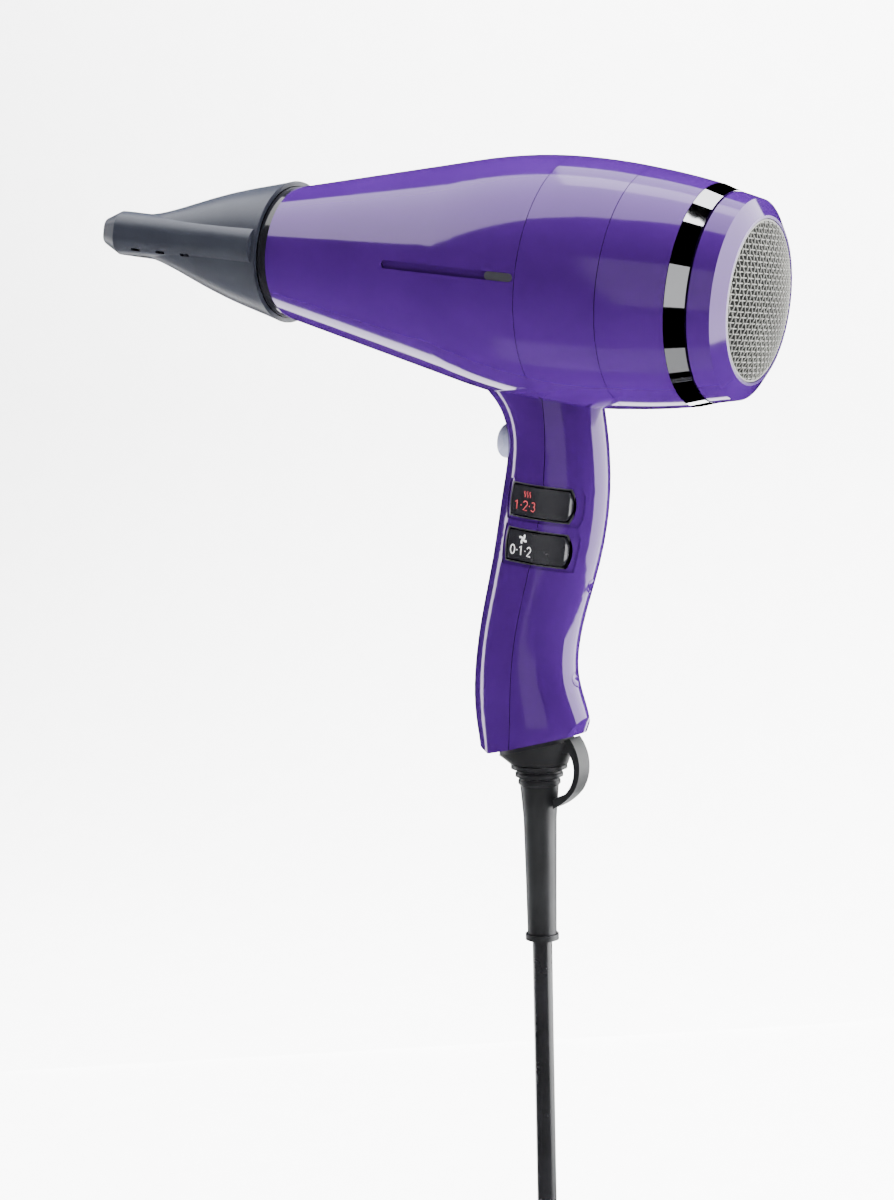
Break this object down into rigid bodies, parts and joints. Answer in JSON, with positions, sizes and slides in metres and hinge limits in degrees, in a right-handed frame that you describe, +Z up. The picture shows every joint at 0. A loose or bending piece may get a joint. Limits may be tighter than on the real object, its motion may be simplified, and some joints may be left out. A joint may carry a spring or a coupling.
{
  "type": "hair dryer",
  "caption": "Professional hair dryer with a tapered barrel, flat concentrator nozzle, rocker switches, cool-shot button, hanging hook and swivel cord with a coiled lead.",
  "frame": {"origin": "middle of the hand grip, on the handle's centreline", "axes": "+Z up with the cord hanging plumb, nozzle towards -X and 7.5 degrees nose-up, +Y across the barrel"},
  "size_m": [0.2681, 0.089, 0.592],
  "materials": {
    "purple_case": "high gloss moulded purple",
    "trim_plastic": "satin dark grey",
    "chrome": "mirror plated",
    "mesh_wire": "woven wire",
    "nozzle_plastic": "satin slate grey",
    "nozzle_inner": "satin dark grey",
    "gloss_black": "gloss black",
    "heat_plastic": "heat-proof black",
    "mica": "mica sheet",
    "nichrome": "drawn wire",
    "steel": "plain",
    "motor_steel": "laminated steel",
    "fan_plastic": "moulded",
    "switch_body": "moulded",
    "rocker_plastic": "semi-gloss black-grey",
    "button_plastic": "semi-gloss grey-blue",
    "board": "phenolic board",
    "copper": "enamelled copper winding",
    "cord_black": "gloss black flexible lead",
    "rubber": "satin black moulded rubber",
    "strap": "black hook-and-loop strap",
    "plug_plastic": "satin black moulded plug",
    "brass": "nickelled brass"
  },
  "bodies": {
    "housing": {"front_shell": "purple_case", "rear_shell": "purple_case", "tail_shell": "purple_case", "side_slot_trim": "trim_plastic", "chrome_ring": "chrome", "outlet_grille": "heat_plastic", "mica_tube": "mica", "heater_board_upright": "mica", "heater_board_level": "mica", "heating_coils": "nichrome", "thermostat": "steel", "thermal_fuse": "steel", "motor_can": "motor_steel", "motor_mount": "heat_plastic", "fan_duct": "heat_plastic", "heat_bezel": "trim_plastic", "heat_switch_body": "switch_body", "heat_rocker_pin": "steel", "speed_bezel": "trim_plastic", "speed_switch_body": "switch_body", "speed_rocker_pin": "steel", "cool_switch_body": "switch_body", "cool_switch_lever": "steel", "circuit_board": "board", "choke": "copper", "rectifier_diodes": "switch_body", "mains_leads": "cord_black", "handle_screws": "steel", "bottom_collar": "rubber"},
    "nozzle_mount": {"nozzle_ring": "gloss_black"},
    "nozzle": {"nozzle_body": "nozzle_plastic", "nozzle_liner": "nozzle_inner"},
    "filter": {"filter_cap": "purple_case", "intake_mesh": "mesh_wire"},
    "fan_rotor": {"motor_shaft": "steel", "impeller": "fan_plastic"},
    "heat_switch": {"heat_rocker": "rocker_plastic"},
    "speed_switch": {"speed_rocker": "rocker_plastic"},
    "cool_shot": {"cool_button": "button_plastic"},
    "cord": {"swivel_hub": "switch_body", "cord_sleeve": "rubber", "cord_drop": "cord_black", "cord_coil": "cord_black", "cord_tie": "strap", "cord_tail": "cord_black", "plug_body": "plug_plastic", "plug_pins": "brass"}
  },
  "joints": [
    {"name": "nozzle_pull_off", "type": "slide", "parent": "housing", "child": "nozzle_mount", "axis": [-0.9914, 0, 0.1305], "range_m": [0, 0.04]},
    {"name": "nozzle_turn", "type": "hinge", "parent": "nozzle_mount", "child": "nozzle", "pos_m": [-0.10676, 0, 0.11996], "axis": [0.9914, 0, -0.1305], "continuous": true},
    {"name": "filter_pull_off", "type": "slide", "parent": "housing", "child": "filter", "axis": [0.9914, 0, -0.1305], "range_m": [0, 0.03]},
    {"name": "fan_spin", "type": "hinge", "parent": "housing", "child": "fan_rotor", "pos_m": [0.05188, 0, 0.09908], "axis": [0.9914, 0, -0.1305], "continuous": true},
    {"name": "heat_rock", "type": "hinge", "parent": "housing", "child": "heat_switch", "pos_m": [0.00484, -0.009, 0.02528], "axis": [0.1305, 0, 0.9914], "range_deg": [-8, 8]},
    {"name": "speed_rock", "type": "hinge", "parent": "housing", "child": "speed_switch", "pos_m": [0.0027, -0.009, 0.00902], "axis": [0.1305, 0, 0.9914], "range_deg": [-8, 8]},
    {"name": "cool_press", "type": "slide", "parent": "housing", "child": "cool_shot", "axis": [0.9914, 0, -0.1305], "range_m": [0, 0.0018], "stiffness_N_per_m": 300, "springref_m": -0.002},
    {"name": "cord_swivel", "type": "hinge", "parent": "housing", "child": "cord", "pos_m": [-0.0044, 0, -0.07], "axis": [0, 0, -1], "continuous": true}
  ]
}
